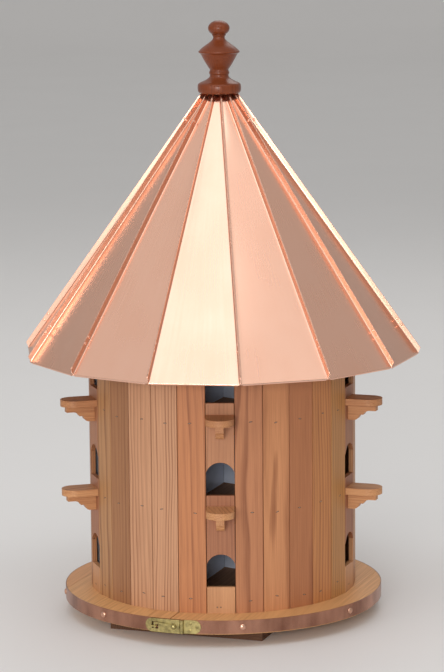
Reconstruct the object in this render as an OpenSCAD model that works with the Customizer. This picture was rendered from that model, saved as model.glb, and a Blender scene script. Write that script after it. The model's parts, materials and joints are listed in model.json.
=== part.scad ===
// Round bluebird house: thirty staves on a split round base, five columns of
// arched doorways with perches, a folded copper roof and a turned finial.
// One half of the body swings about a hinge at the back of the base.
// Millimetres, +Z up, the house's axis on Z, the front doorways facing -Y,
// the underside of the mount board at z = 0.

/* [Wall] */
// Distance from the house's axis to the outer face of a stave
wall_r = 182.4; // [150:0.1:205]
// Thickness of a stave, which is nailed to the edges of the floors
wall_t = 6.35; // [5:0.05:12]
// Gap between neighbouring staves
stave_gap = 0.9; // [0.4:0.1:1.5]
// Width taken off each outer edge of a stave
stave_ease = 0.5; // [0.2:0.1:1.5]
// Gap between the two halves where the house splits
split_gap = 1.5; // [0.8:0.1:3]
// Height of wood above the crown of the top arch
head_h = 16; // [8:1:40]

/* [Doorways] */
// Height of the lowest sill above the base
sill_h = 36; // [28:1:60]
// Height from one sill to the next
storey_h = 124; // [110:1:170]
// Height of a doorway from sill to crown
opening_h = 44.5; // [36:0.5:60]
// Diameter of the hole that forms a doorway's arch
arch_d = 39.7; // [34:0.1:50]

/* [Rooms] */
// Thickness of a floor
floor_t = 19; // [12:1:25]
// Height from one floor to the next
floor_pitch = 120; // [105:1:160]
// Thickness of a divider sheet between two rooms
divider_t = 2; // [1:0.5:6]

/* [Base] */
// Radius of the round base
base_r = 218; // [205:1:290]
// Thickness of the base boards
base_t = 19; // [15:1:30]
// Width of the main board of each half of the base
base_board_w = 190; // [150:1:200]
// Thickness of the copper band around the base
band_t = 1; // [0.5:0.1:2]
// Height of the copper band
band_h = 18; // [10:1:30]
// Width of the mount board under the base
mount_w = 216; // [120:1:300]
// Length of the mount board, along the split
mount_l = 314; // [150:1:360]
// Thickness of the mount board
mount_t = 19; // [12:1:40]

/* [Perches] */
// Distance that a perch stands out from the wall
perch_l = 46; // [36:1:60]
// Thickness of a perch shelf
perch_t = 9; // [6:0.5:14]
// Depth of the shelf's top below the sill above it, middle and top storey
perch_drop = [14.3, 15.2]; // [8:0.1:20]
// Distance that the bracket under a shelf stands out
bracket_l = 39; // [28:1:44]
// Height of the bracket under a shelf
bracket_h = 22; // [18:1:34]
// Thickness of the bracket
bracket_t = 11; // [8:1:20]

/* [Roof] */
// Distance from the axis to an eave corner of the roof's sheets
roof_r = 270.5; // [250:0.5:360]
// Slope of a roof panel from level, in degrees
roof_slope = 55; // [48:0.5:62]
// Height of the wall's top above the eaves
eave_drop = 21; // [12:0.2:32]
// Turn of the front panel's middle from the front doorways, in degrees
roof_turn = -6.8; // [-12.8:0.1:12.8]
// Thickness of the copper sheet
sheet_t = 0.8; // [0.6:0.1:2]
// Height of the turned-up flanges along the seams
flange_h = 7; // [4:0.5:14]
// Distance up the seam from the eave to the cut-back foot of a flange
flange_notch = 1.5; // [0:0.5:8]
// Thickness of the round board under the roof
soffit_t = 19; // [12:1:25]
// Diameter of the post from that board to the finial
post_d = 28; // [20:1:29]

/* [Finial] */
// Radius of the finial's foot
finial_r = 29.4; // [27:0.1:40]
// Height of the finial
finial_h = 98; // [80:1:130]

/* [Hasp and hinge] */
// Height of the hasp and of the hinge on the band
plate_h = 18.4; // [14:0.2:19]
// Thickness of their brass plates
plate_t = 1.5; // [1:0.1:2]
// Diameter of their barrels
barrel_d = 5.6; // [5:0.1:8]
// Diameter of their pins
pin_d = 2.4; // [1.6:0.1:3]
// Reach of the hasp's strap from its pin
strap_l = 50.5; // [46:0.5:56]
// Reach of the hasp's leaf and of the hinge's leaves from their pins
leaf_l = 25.5; // [18:0.5:32]
// Distance from the split to the hasp's pin
hasp_offset = 17; // [14:0.5:20]

/* [Hidden] */
$fn = 96;

seat = 0.3;                              // gap where one piece rests in or beside another
swing_gap = 5;                           // room above the half that swings
strap_gap = 2.2;                         // room under the strap, for the band's end to swing past
big = 1200;                              // longer than the house, for cutting planes

stave_count = 30;                        // staves round the wall, one in six with doorways
stave_a = 360 / stave_count;
storeys = 3;
split_a = -1.5 * stave_a;                // azimuth of the split at the front
column_a = 6 * stave_a;                  // azimuth from one column of doorways to the next
room_a = split_a + column_a;             // azimuth of the first divider past the split

base_z = mount_t;                        // underside of the base
deck_z = mount_t + base_t;               // top of the base, where the wall stands
stave_half = wall_r * tan(stave_a / 2) - stave_gap / 2 / cos(stave_a / 2);
arch_r = arch_d / 2;
spring_h = opening_h - arch_r + sqrt(max(0, pow(arch_r, 2) - pow(stave_half, 2)));
wall_h = sill_h + (storeys - 1) * storey_h + opening_h + head_h;
wall_h_left = wall_h - swing_gap;        // the swinging half clears the soffit
inner_r = wall_r - wall_t;               // inner face of a stave
room_r = inner_r - seat;                 // floors and dividers reach this far
band_in_r = base_r + 0.15;               // the band is a close fit round the base
band_r = band_in_r + band_t;             // outer face of the band
band_z = deck_z - band_h;

soffit_z = deck_z + wall_h;              // underside of the round board
eave_z = soffit_z - eave_drop;
panel_count = 14;
panel_half_a = 180 / panel_count;
eave_flat_r = roof_r * cos(panel_half_a);          // axis to the middle of a panel's eave
seam_slope = atan(tan(roof_slope) * cos(panel_half_a));
sheet_run = sheet_t / sin(roof_slope);             // level thickness of the sloping sheet
apex_z = eave_z + eave_flat_r * tan(roof_slope);
// The finial's foot covers the tops of the flanges, 4 mm in from its edge.
finial_z = apex_z + flange_h / cos(seam_slope) - (finial_r - 4) * tan(seam_slope);
roof_top_z = finial_z - seat;
soffit_r = (apex_z - soffit_z - soffit_t) / tan(roof_slope) - sheet_run - seat;

plate_z = deck_z - (band_h + plate_h) / 2;         // the plates are centred on the band
plate_mid_z = plate_z + plate_h / 2;
pin_r = band_r + barrel_d / 2 + seat;              // axis to the pins
hasp_a = split_a + hasp_offset / band_r * 180 / PI;
hinge_a = split_a + 180;
rivet_l = 10.5;                                    // hasp pin to the hook's rivet
rivet_r = 1.5;
rivet_head_r = 3.6;
staple_l = 36.5;                                   // hasp pin to the staple
staple_half = 4;
staple_w = 1.5;                                    // thickness of the staple's wire
staple_out = 10;                                   // how far the staple stands off the band
slot_half = staple_half + 0.6;
hook_w = 2.4;
hook_lift = 4.6;                                   // height of the hook's arm over the staple
run = 0.05;                                        // running clearance at the pins
screw_r = 1.2;

function arc_a(length) = length / band_r * 180 / PI;     // angle of a length along the band
function sill_z(storey) = deck_z + sill_h + storey * storey_h;

// ---- helpers ----

// Turns what is built facing -Y to an azimuth, counted from the front to the right.
module at(azimuth) rotate([0, 0, azimuth]) children();

// Everything right (side 1) or left (side -1) of a plane at offset from the split.
module beyond(offset, side) {
    at(split_a) translate([side > 0 ? offset : -offset - big, -big / 2, -big / 2]) cube(big);
}

module half(side) {
    intersection() {
        children();
        beyond(split_gap / 2, side);
    }
}

// A stave facing -Y with bevelled sides and eased outer edges, from z0 up.
module stave(z0, height) {
    out = stave_half;
    in = inner_r * tan(stave_a / 2) - stave_gap / 2 / cos(stave_a / 2);
    eased = out - stave_ease;
    back = wall_r - stave_ease;
    translate([0, 0, z0]) linear_extrude(height) polygon([
        [-out, -back], [-eased, -wall_r], [eased, -wall_r], [out, -back],
        [in, -inner_r], [-in, -inner_r]
    ]);
}

// Plain staves from one place to another, counted in staves from the front doorways.
module staves(first, last, height) {
    for (i = [first:last]) at(i * stave_a) stave(deck_z, height);
}

// The blocks of a column of doorways: one under the lowest sill, one over each arch.
module door_blocks(azimuth, height) {
    at(azimuth) {
        stave(deck_z, sill_h);
        for (s = [0:storeys - 1]) {
            low = sill_z(s) + spring_h;
            high = s < storeys - 1 ? sill_z(s + 1) : deck_z + height;
            difference() {
                stave(low, high - low);
                translate([0, -wall_r + wall_t / 2, sill_z(s) + opening_h - arch_r])
                    rotate([90, 0, 0]) cylinder(r = arch_r, h = 2 * wall_t, center = true);
            }
        }
    }
}

// Half-round shelves under the upper doorways.
module perch_shelves(azimuth) {
    end_r = stave_half;
    at(azimuth) for (s = [1:storeys - 1])
        translate([0, -wall_r, sill_z(s) - perch_drop[s - 1] - perch_t]) {
            translate([-end_r, end_r - perch_l, 0]) cube([2 * end_r, perch_l - end_r, perch_t]);
            translate([0, end_r - perch_l, 0]) cylinder(r = end_r, h = perch_t);
        }
}

// Outline of a bracket: a square nose, a step, and an ogee down to the wall.
module bracket_outline() {
    nose_h = 0.38 * bracket_h;
    step_l = 0.74 * bracket_l;
    cove_r = bracket_h - nose_h - 5;
    lobe_r = 0.2 * bracket_l;
    difference() {
        union() {
            translate([0, -nose_h]) square([bracket_l, nose_h]);
            translate([0, -bracket_h + lobe_r]) square([step_l, bracket_h - lobe_r - 1]);
            translate([0, -bracket_h]) square([lobe_r, bracket_h - 1]);
            translate([lobe_r, -bracket_h + lobe_r]) circle(r = lobe_r);
        }
        translate([step_l + 1.5, -nose_h - 1.5 - cove_r]) circle(r = cove_r + 1.5);
        translate([step_l, -bracket_h - 1]) square([bracket_l, bracket_h - nose_h - 1.5]);
    }
}

module perch_brackets(azimuth) {
    at(azimuth) for (s = [1:storeys - 1])
        translate([0, -wall_r, sill_z(s) - perch_drop[s - 1] - perch_t])
            rotate([90, 0, -90]) linear_extrude(bracket_t, center = true) bracket_outline();
}

// Three floors, the lowest one lying on the base.
module floor_discs() {
    for (s = [0:storeys - 1])
        translate([0, 0, deck_z + s * floor_pitch]) cylinder(r = room_r, h = floor_t);
}

// The dividers of every storey at an azimuth, shifted sideways off that line.
module dividers(azimuth, shift, top) {
    hub = 3;                             // the sheets stop short of the axis
    for (s = [0:storeys - 1]) {
        low = deck_z + s * floor_pitch + floor_t;
        high = s < storeys - 1 ? low + floor_pitch - floor_t : deck_z + top;
        at(azimuth) translate([shift - divider_t / 2, -room_r, low])
            cube([divider_t, room_r - hub, high - low - seat]);
    }
}

module base_disc(height, z0) translate([0, 0, z0]) cylinder(r = base_r, h = height);

// The main board of one half of the base.
module base_board(side, height, z0) {
    intersection() {
        base_disc(height, z0);
        beyond(split_gap / 2, side);
        beyond(-base_board_w, -side);
    }
}

module base_strip(side, height, z0) {
    intersection() {
        base_disc(height, z0);
        beyond(base_board_w + seat, side);
    }
}

module rim_band(side) {
    half(side) difference() {
        translate([0, 0, band_z]) cylinder(r = band_r, h = band_h);
        translate([0, 0, band_z - 1]) cylinder(r = band_in_r, h = band_h + 2);
    }
}

// A plate bent round the band from a pin facing -Y, side 1 to the right, with a round end.
module rim_plate(length, side, lift) {
    end_r = plate_h / 2;
    straight = length - end_r;
    intersection() {
        translate([0, 0, plate_z]) difference() {
            cylinder(r = band_r + lift + plate_t, h = plate_h);
            translate([0, 0, -1]) cylinder(r = band_r + lift, h = plate_h + 2);
        }
        translate([0, 0, plate_mid_z]) rotate([90, 0, 0]) linear_extrude(big) union() {
            translate([side > 0 ? 0 : -straight, -end_r]) square([straight, plate_h]);
            translate([side * straight, 0]) circle(r = end_r);
        }
    }
}

// One knuckle of a barrel, as a tube from share a to share b of the plate's height.
module knuckle(a, b, bore) {
    play = 0.15;
    translate([0, -pin_r, plate_z + a * plate_h + play]) difference() {
        cylinder(d = barrel_d, h = (b - a) * plate_h - 2 * play);
        translate([0, 0, -1]) cylinder(d = bore, h = plate_h + 2);
    }
}

// The room that a plate leaves for the other plate's knuckles, from share a to share b.
module knuckle_room(a, b) {
    room = 0.4;
    below = a > 0 ? 0 : 1;
    above = b < 1 ? 0 : 1;
    translate([0, -pin_r, plate_z + a * plate_h - below])
        cylinder(r = barrel_d / 2 + room, h = (b - a) * plate_h + below + above);
}

module pin_bore(bore) translate([0, -pin_r, plate_z - 1]) cylinder(d = bore, h = plate_h + 2);

// A leaf screwed to the band. An outer one turns on the pin, with two knuckles; the other has one.
module leaf(side, outer) {
    bore = outer ? pin_d + 2 * run : pin_d + 0.04;
    difference() {
        rim_plate(leaf_l, side, 0.1);
        if (outer) knuckle_room(1 / 3, 2 / 3);
        else {
            knuckle_room(0, 1 / 3);
            knuckle_room(2 / 3, 1);
        }
        pin_bore(bore);
        for (hole = [[0.45, 0.25], [0.45, 0.75], [0.78, 0.5]])
            at(side * arc_a(hole[0] * leaf_l))
                translate([0, -band_r, plate_z + hole[1] * plate_h])
                    rotate([90, 0, 0]) cylinder(r = screw_r, h = 20, center = true);
    }
    if (outer) {
        knuckle(0, 1 / 3, bore);
        knuckle(2 / 3, 1, bore);
    }
    else knuckle(1 / 3, 2 / 3, bore);
}

module pin() translate([0, -pin_r, plate_z]) cylinder(d = pin_d, h = plate_h);

// ---- base ----

module mount_board() {
    color("saddlebrown") at(split_a)
        translate([-mount_w / 2, -mount_l / 2, 0]) cube([mount_w, mount_l, mount_t]);
}

module base_board_right() color("peru") base_board(1, base_t, base_z);
module base_strip_right() color("peru") base_strip(1, base_t, base_z);
module base_board_left() color("peru") base_board(-1, base_t - seat, base_z + seat);
module base_strip_left() color("peru") base_strip(-1, base_t - seat, base_z + seat);
module rim_band_right() color("chocolate") rim_band(1);
module rim_band_left() color("chocolate") rim_band(-1);

// ---- wall ----

module stave_front_left() color("sandybrown") staves(-1, -1, wall_h);
module staves_front_right() color("tan") staves(1, 5, wall_h);
module staves_back_right() color("tan") staves(7, 11, wall_h);
module stave_back_right() color("tan") staves(13, 13, wall_h);
module staves_back_left() color("tan") staves(14, 17, wall_h_left);
module staves_side_left() color("tan") staves(19, 23, wall_h_left);
module staves_front_left() color("tan") staves(25, 28, wall_h_left);

module front_door_blocks() color("burlywood") door_blocks(0, wall_h);
module right_door_blocks() color("burlywood") door_blocks(column_a, wall_h);
module back_right_door_blocks() color("burlywood") door_blocks(2 * column_a, wall_h);
module back_left_door_blocks() color("burlywood") door_blocks(3 * column_a, wall_h_left);
module left_door_blocks() color("burlywood") door_blocks(4 * column_a, wall_h_left);

module front_perch_shelves() color("tan") perch_shelves(0);
module right_perch_shelves() color("tan") perch_shelves(column_a);
module back_right_perch_shelves() color("tan") perch_shelves(2 * column_a);
module back_left_perch_shelves() color("tan") perch_shelves(3 * column_a);
module left_perch_shelves() color("tan") perch_shelves(4 * column_a);

module front_perch_brackets() color("burlywood") perch_brackets(0);
module right_perch_brackets() color("burlywood") perch_brackets(column_a);
module back_right_perch_brackets() color("burlywood") perch_brackets(2 * column_a);
module back_left_perch_brackets() color("burlywood") perch_brackets(3 * column_a);
module left_perch_brackets() color("burlywood") perch_brackets(4 * column_a);

// ---- rooms ----

module floors_right() color("sienna") half(1) floor_discs();
module floors_left() color("sienna") half(-1) floor_discs();

module dividers_right() color("lightsteelblue") {
    dividers(split_a, (split_gap + divider_t) / 2, wall_h);
    dividers(room_a, 0, wall_h);
    dividers(room_a + column_a, 0, wall_h);
}

module dividers_left() color("lightsteelblue") {
    dividers(room_a + 2 * column_a, 0, wall_h_left);
    dividers(room_a + 3 * column_a, 0, wall_h_left);
}

// ---- roof ----

module soffit_board() {
    color("sienna") translate([0, 0, soffit_z]) cylinder(r = soffit_r, h = soffit_t);
}

module roof_post() {
    color("sienna") translate([0, 0, soffit_z + soffit_t])
        cylinder(d = post_d, h = finial_z - soffit_z - soffit_t);
}

// The turned-up edge of a panel in the upright plane of its seam, drawn as run and rise.
module flange_outline() {
    seam_l = (roof_r - 4) / cos(seam_slope);
    out = [sin(seam_slope), cos(seam_slope)];
    up = [-cos(seam_slope), sin(seam_slope)];
    foot = [roof_r, eave_z];
    polygon([
        foot + flange_notch * up - 0.8 * sheet_t * out, foot + flange_notch * up,
        foot + (flange_notch + flange_h / 2) * up + flange_h * out,
        foot + seam_l * up + flange_h * out, foot + seam_l * up - 0.8 * sheet_t * out
    ]);
}

module flange(side) {
    at(side * panel_half_a) translate([-side * (seat / 2 + sheet_t / 2), 0, 0])
        rotate([90, 0, -90]) linear_extrude(sheet_t, center = true) flange_outline();
}

// One folded panel facing -Y: a sloping sheet kept inside its own sector, and two flanges.
module panel() {
    nib = seat / 2 / sin(panel_half_a);
    reach = roof_r + 10;
    difference() {
        union() {
            intersection() {
                rotate([90, 0, -90]) linear_extrude(roof_r, center = true) polygon([
                    [eave_flat_r, eave_z], [0, apex_z], [-sheet_run, apex_z],
                    [eave_flat_r - sheet_run, eave_z]
                ]);
                linear_extrude(big) polygon([
                    [0, -nib], [-(reach - nib) * tan(panel_half_a), -reach],
                    [(reach - nib) * tan(panel_half_a), -reach]
                ]);
            }
            flange(1);
            flange(-1);
        }
        translate([-big / 2, -big / 2, roof_top_z]) cube(big);
    }
}

module roof_panels() {
    color("salmon") for (i = [0:panel_count - 1]) at(roof_turn + 2 * i * panel_half_a) panel();
}

// Turned finial: foot, neck and ring, urn, flange, flared neck and ball.
module finial_outline() {
    k = finial_h / 98;                   // heights follow the finial's height
    w = finial_r / 29.4;                 // widths follow its foot
    union() {
        polygon([
            [0, 0], [26.4 * w, 0], [28.6 * w, 1.5 * k], [29.4 * w, 5 * k], [29.4 * w, 10.2 * k],
            [28.4 * w, 13 * k], [25 * w, 15 * k], [20 * w, 17 * k], [15.5 * w, 19.6 * k],
            [13.2 * w, 21.8 * k], [12.7 * w, 23.4 * k], [12.7 * w, 25.2 * k], [13.5 * w, 26.2 * k],
            [13.7 * w, 27.6 * k], [13.4 * w, 29.2 * k], [12.5 * w, 30.4 * k], [12.7 * w, 32.4 * k],
            [15 * w, 35.4 * k], [18.9 * w, 41.6 * k], [22.3 * w, 47.8 * k], [25 * w, 53.2 * k],
            [26.4 * w, 54.2 * k], [27.8 * w, 55.2 * k], [27.9 * w, 56.4 * k], [26.6 * w, 57.6 * k],
            [24.6 * w, 59.8 * k], [20.5 * w, 63.2 * k], [14.5 * w, 67.2 * k], [10.4 * w, 70.6 * k],
            [8.2 * w, 73.2 * k], [7.8 * w, 75.4 * k], [8.4 * w, 77 * k], [9.4 * w, 78 * k],
            [9.4 * w, 79 * k], [0, 79 * k]
        ]);
        intersection() {
            translate([0, 87.5 * k]) scale([14.6 * w, 10.5 * k]) circle(r = 1);
            square([20 * w, 98 * k]);
        }
    }
}

module finial() {
    color("maroon") translate([0, 0, finial_z]) rotate_extrude() finial_outline();
}

// ---- hasp on the front of the base, across the split ----

module hasp_leaf() color("gold") at(hasp_a) leaf(1, false);
module hasp_pin() color("gold") at(hasp_a) pin();

module hasp_strap() {
    bore = pin_d + 2 * run;
    color("gold") at(hasp_a) {
        difference() {
            rim_plate(strap_l, -1, strap_gap);
            knuckle_room(1 / 3, 2 / 3);
            pin_bore(bore);
            at(-arc_a(staple_l)) translate([0, -band_r, plate_mid_z])
                cube([2 * slot_half, 10, 2 * slot_half], center = true);
            at(-arc_a(rivet_l)) translate([0, -band_r, plate_mid_z])
                rotate([90, 0, 0]) cylinder(r = rivet_r + 0.02, h = 10, center = true);
        }
        knuckle(0, 1 / 3, bore);
        knuckle(2 / 3, 1, bore);
    }
}

// Rivet that the hook turns on, with a domed head.
module hasp_rivet() {
    shank = 2 * plate_t + seat;
    color("gold") at(hasp_a - arc_a(rivet_l))
        translate([0, -band_r - strap_gap, plate_mid_z]) rotate([90, 0, 0]) {
            cylinder(r = rivet_r, h = shank);
            translate([0, 0, shank]) intersection() {
                translate([0, 0, -1]) sphere(r = rivet_head_r + 0.2);
                cylinder(r = rivet_head_r, h = rivet_head_r);
            }
        }
}

// Hook on the rivet: its arm passes over the staple and its tip goes down through it.
module hasp_hook() {
    arm = staple_l - rivet_l;
    eye_r = 3.2;
    color("gold") at(hasp_a - arc_a(rivet_l))
        translate([0, -band_r - strap_gap - seat - plate_t, plate_mid_z])
            rotate([90, 0, 0]) linear_extrude(plate_t) difference() {
                union() {
                    circle(r = eye_r);
                    polygon([
                        [0, -hook_w / 2], [0, hook_w / 2 + 1], [-arm + 7, hook_lift],
                        [-arm - hook_w / 2, hook_lift], [-arm - hook_w / 2, -hook_lift + 1],
                        [-arm + hook_w / 2, -hook_lift + 1],
                        [-arm + hook_w / 2, hook_lift - hook_w], [-arm + 7, hook_lift - hook_w]
                    ]);
                }
                circle(r = rivet_r + run);
            }
}

// Staple on the swinging half: a level loop that stands through the strap's slot.
module hasp_staple() {
    color("gold") at(hasp_a - arc_a(staple_l)) translate([0, -band_r, plate_mid_z])
        difference() {
            translate([-staple_half, -staple_out, -staple_w / 2])
                cube([2 * staple_half, staple_out - seat, staple_w]);
            translate([-staple_half + staple_w, -staple_out + staple_w, -staple_w])
                cube([2 * (staple_half - staple_w), staple_out, 2 * staple_w]);
        }
}

// ---- hinge at the back of the base ----

module hinge_leaf_right() color("gold") at(hinge_a) leaf(-1, false);
module hinge_leaf_left() color("gold") at(hinge_a) leaf(1, true);
module hinge_pin() color("gold") at(hinge_a) pin();

mount_board();
base_board_right();
base_strip_right();
base_board_left();
base_strip_left();
rim_band_right();
rim_band_left();
stave_front_left();
staves_front_right();
staves_back_right();
stave_back_right();
staves_back_left();
staves_side_left();
staves_front_left();
front_door_blocks();
right_door_blocks();
back_right_door_blocks();
back_left_door_blocks();
left_door_blocks();
front_perch_shelves();
right_perch_shelves();
back_right_perch_shelves();
back_left_perch_shelves();
left_perch_shelves();
front_perch_brackets();
right_perch_brackets();
back_right_perch_brackets();
back_left_perch_brackets();
left_perch_brackets();
floors_right();
floors_left();
dividers_right();
dividers_left();
soffit_board();
roof_post();
roof_panels();
finial();
hasp_leaf();
hasp_strap();
hasp_pin();
hasp_rivet();
hasp_hook();
hasp_staple();
hinge_leaf_right();
hinge_leaf_left();
hinge_pin();
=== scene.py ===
import json
import math

import bpy
import numpy as np
from mathutils import Matrix, Vector


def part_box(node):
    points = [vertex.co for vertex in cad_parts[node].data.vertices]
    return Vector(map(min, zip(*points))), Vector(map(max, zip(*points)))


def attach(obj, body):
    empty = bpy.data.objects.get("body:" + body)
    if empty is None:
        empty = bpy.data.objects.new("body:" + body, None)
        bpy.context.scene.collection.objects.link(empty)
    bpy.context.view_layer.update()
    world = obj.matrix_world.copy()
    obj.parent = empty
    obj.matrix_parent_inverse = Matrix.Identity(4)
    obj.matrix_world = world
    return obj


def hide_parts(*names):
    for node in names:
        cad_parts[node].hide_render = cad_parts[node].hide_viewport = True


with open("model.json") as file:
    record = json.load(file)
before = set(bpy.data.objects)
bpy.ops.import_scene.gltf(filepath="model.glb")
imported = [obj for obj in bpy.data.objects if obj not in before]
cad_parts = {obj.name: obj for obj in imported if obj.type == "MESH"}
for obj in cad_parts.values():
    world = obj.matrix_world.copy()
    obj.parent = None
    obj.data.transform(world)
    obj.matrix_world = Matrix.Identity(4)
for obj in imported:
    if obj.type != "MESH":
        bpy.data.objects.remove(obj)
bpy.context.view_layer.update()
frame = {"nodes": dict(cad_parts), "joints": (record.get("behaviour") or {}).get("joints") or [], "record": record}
nodes = frame["nodes"]
mm = 0.001

wall = {
    "staves": 30,            # numbered from the front to the right
    "columnEvery": 6,        # one stave in six is a column of doorways
    "leftHalf": (14, 28),    # first and last stave of the half that swings
    "split": -18,            # azimuth of the split between the halves
}
wall["pitch"] = 360 / wall["staves"]   # degrees from one stave to the next


def bodyOf(number):
    # the body that carries the stave of this number
    first, last = wall["leftHalf"]
    return "left_half" if first <= number <= last else "house"


def gridFaces(rows, columns, closed=False):
    # quads between neighbouring points of a rows x columns grid, wrapped round when closed
    r = np.arange(rows - 1)[:, None]
    c = np.arange(columns if closed else columns - 1)[None, :]
    n = (c + 1) % columns
    quads = [r * columns + c, r * columns + n, (r + 1) * columns + n, (r + 1) * columns + c]
    return np.stack(quads, axis=-1).reshape(-1, 4)


def makePiece(name, points, faces, body, material, smooth):
    # faces is a list of arrays, each with its own number of corners; edges turning by more than
    # smooth degrees stay sharp
    mesh = bpy.data.meshes.new(name)
    mesh.from_pydata(points.tolist(), [], [f for part in faces for f in part.tolist()])
    mesh.validate()
    mesh.shade_smooth()
    mesh.set_sharp_from_angle(angle=math.radians(smooth))
    mesh.materials.append(material)
    piece = bpy.data.objects.new(name, mesh)
    bpy.context.scene.collection.objects.link(piece)
    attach(piece, body)
    return piece


def revolve(profile, segments):
    # a profile of (radius, height) points turned about Z, closed with a fan at each end
    profile = np.asarray(profile, float)
    turn = np.linspace(0, 2 * np.pi, segments, endpoint=False)
    ring = np.stack([np.cos(turn), np.sin(turn)], axis=-1)
    side = profile[:, None, :1] * ring[None]
    height = np.broadcast_to(profile[:, None, 1:], side.shape[:2] + (1,))
    points = np.concatenate([side, height], axis=-1).reshape(-1, 3)
    low = len(points)
    poles = np.array([[0, 0, profile[0, 1]], [0, 0, profile[-1, 1]]])
    here = np.arange(segments)
    after = (here + 1) % segments
    last = low - segments
    bottom = np.stack([np.full(segments, low), after, here], axis=-1)
    top = np.stack([np.full(segments, low + 1), last + here, last + after], axis=-1)
    faces = [gridFaces(len(profile), segments, closed=True), bottom, top]
    return np.concatenate([points, poles]), faces


def stamp(points, faces, origins, across, along, outward):
    # copies of one small shape: its x, y and z axes laid on across, along and outward at each origin
    origins, across, along, outward = (np.asarray(a, float) for a in (origins, across, along, outward))
    placed = (origins[:, None] + points[None, :, :1] * across[:, None]
              + points[None, :, 1:2] * along[:, None] + points[None, :, 2:] * outward[:, None])
    step = len(points) * np.arange(len(origins))
    copies = [(f[None] + step[:, None, None]).reshape(-1, f.shape[1]) for f in faces]
    return placed.reshape(-1, 3), copies


def softened(points, rounds):
    # corner cutting: each corner is replaced by points a quarter in from its two neighbours
    points = np.asarray(points, float)
    for _ in range(rounds):
        a = 0.75 * points[:-1] + 0.25 * points[1:]
        b = 0.25 * points[:-1] + 0.75 * points[1:]
        cut = np.stack([a, b], axis=1).reshape(-1, points.shape[1])
        points = np.concatenate([points[:1], cut, points[-1:]])
    return points


def facing(azimuth):
    # outward and sideways directions at an azimuth counted from the front to the right
    a = np.radians(np.asarray(azimuth, float))
    zero = np.zeros_like(a)
    outward = np.stack([np.sin(a), -np.cos(a), zero], axis=-1)
    sideways = np.stack([np.cos(a), np.sin(a), zero], axis=-1)
    return outward, sideways


def towards(azimuth, elevation):
    # the unit vector to a place at an azimuth from the front and an elevation, both in degrees
    a = math.radians(azimuth)
    e = math.radians(elevation)
    return Vector((math.sin(a) * math.cos(e), -math.cos(a) * math.cos(e), math.sin(e)))


def rgb(red, green, blue):
    # an sRGB colour in bytes as the linear colour that a shader takes
    c = np.array([red, green, blue]) / 255
    linear = np.where(c <= 0.04045, c / 12.92, ((c + 0.055) / 1.055) ** 2.4)
    return tuple(float(v) for v in linear) + (1.0,)


class Wiring:
    # a material with short ways to add nodes and link them

    def __init__(self, name):
        self.material = bpy.data.materials.new(name)
        self.material.use_nodes = True
        self.tree = self.material.node_tree
        self.tree.nodes.clear()
        self.output = self.add("ShaderNodeOutputMaterial")

    def add(self, kind, inputs=None, **settings):
        node = self.tree.nodes.new(kind)
        for key, value in settings.items():
            setattr(node, key, value)
        for key, value in (inputs or {}).items():
            self.put(node.inputs[key], value)
        return node

    def put(self, socket, value):
        if isinstance(value, bpy.types.NodeSocket):
            self.tree.links.new(value, socket)
        else:
            socket.default_value = value

    def calc(self, operation, *values):
        node = self.add("ShaderNodeMath", operation=operation)
        for i, value in enumerate(values):
            self.put(node.inputs[i], value)
        return node.outputs[0]

    def total(self, *values):
        result = values[0]
        for value in values[1:]:
            result = self.calc("ADD", result, value)
        return result

    def times(self, a, b):
        return self.calc("MULTIPLY", a, b)

    def vector(self, x, y, z):
        return self.add("ShaderNodeCombineXYZ", {0: x, 1: y, 2: z}).outputs[0]

    def place(self):
        # the point in millimetres, as three sockets
        where = self.add("ShaderNodeTexCoord").outputs["Object"]
        parts = self.add("ShaderNodeSeparateXYZ", {0: where}).outputs
        return [self.times(p, 1000.0) for p in parts]

    def noise(self, vector, scale, detail=2.0, roughness=0.5):
        inputs = {"Vector": vector, "Scale": scale, "Detail": detail, "Roughness": roughness}
        return self.add("ShaderNodeTexNoise", inputs).outputs["Fac"]

    def scatter(self, a, b):
        # three steady random numbers for a pair of numbers
        where = {"Vector": self.vector(a, b, 0.5)}
        node = self.add("ShaderNodeTexWhiteNoise", where, noise_dimensions="3D")
        return self.add("ShaderNodeSeparateColor", {0: node.outputs["Color"]}).outputs

    def ramp(self, factor, stops, interpolation="LINEAR"):
        node = self.add("ShaderNodeValToRGB", {0: factor})
        band = node.color_ramp
        band.interpolation = interpolation
        while len(band.elements) < len(stops):
            band.elements.new(0.5)
        for element, (position, colour) in zip(band.elements, stops):
            element.position = position
            element.color = colour if isinstance(colour, tuple) else (colour, colour, colour, 1.0)
        return node.outputs["Color"]

    def blend(self, factor, a, b, how="MIX"):
        node = self.add("ShaderNodeMix", data_type="RGBA", blend_type=how)
        self.put(node.inputs[0], factor)
        self.put(node.inputs[6], a)
        self.put(node.inputs[7], b)
        return node.outputs[2]

    def finish(self, colour, roughness, metallic=0.0, height=None, depth=0.0002, edge=0.0, **extra):
        inputs = {"Base Color": colour, "Roughness": roughness, "Metallic": metallic}
        inputs.update({key.replace("_", " "): value for key, value in extra.items()})
        normal = None
        if edge:
            normal = self.add("ShaderNodeBevel", {"Radius": edge}, samples=4).outputs[0]
        if height is not None:
            bump = self.add("ShaderNodeBump", {"Height": height, "Strength": 0.6, "Distance": depth})
            if normal is not None:
                self.put(bump.inputs["Normal"], normal)
            normal = bump.outputs[0]
        if normal is not None:
            inputs["Normal"] = normal
        surface = self.add("ShaderNodeBsdfPrincipled", inputs)
        self.put(self.output.inputs["Surface"], surface.outputs[0])
        return self.material


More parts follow.
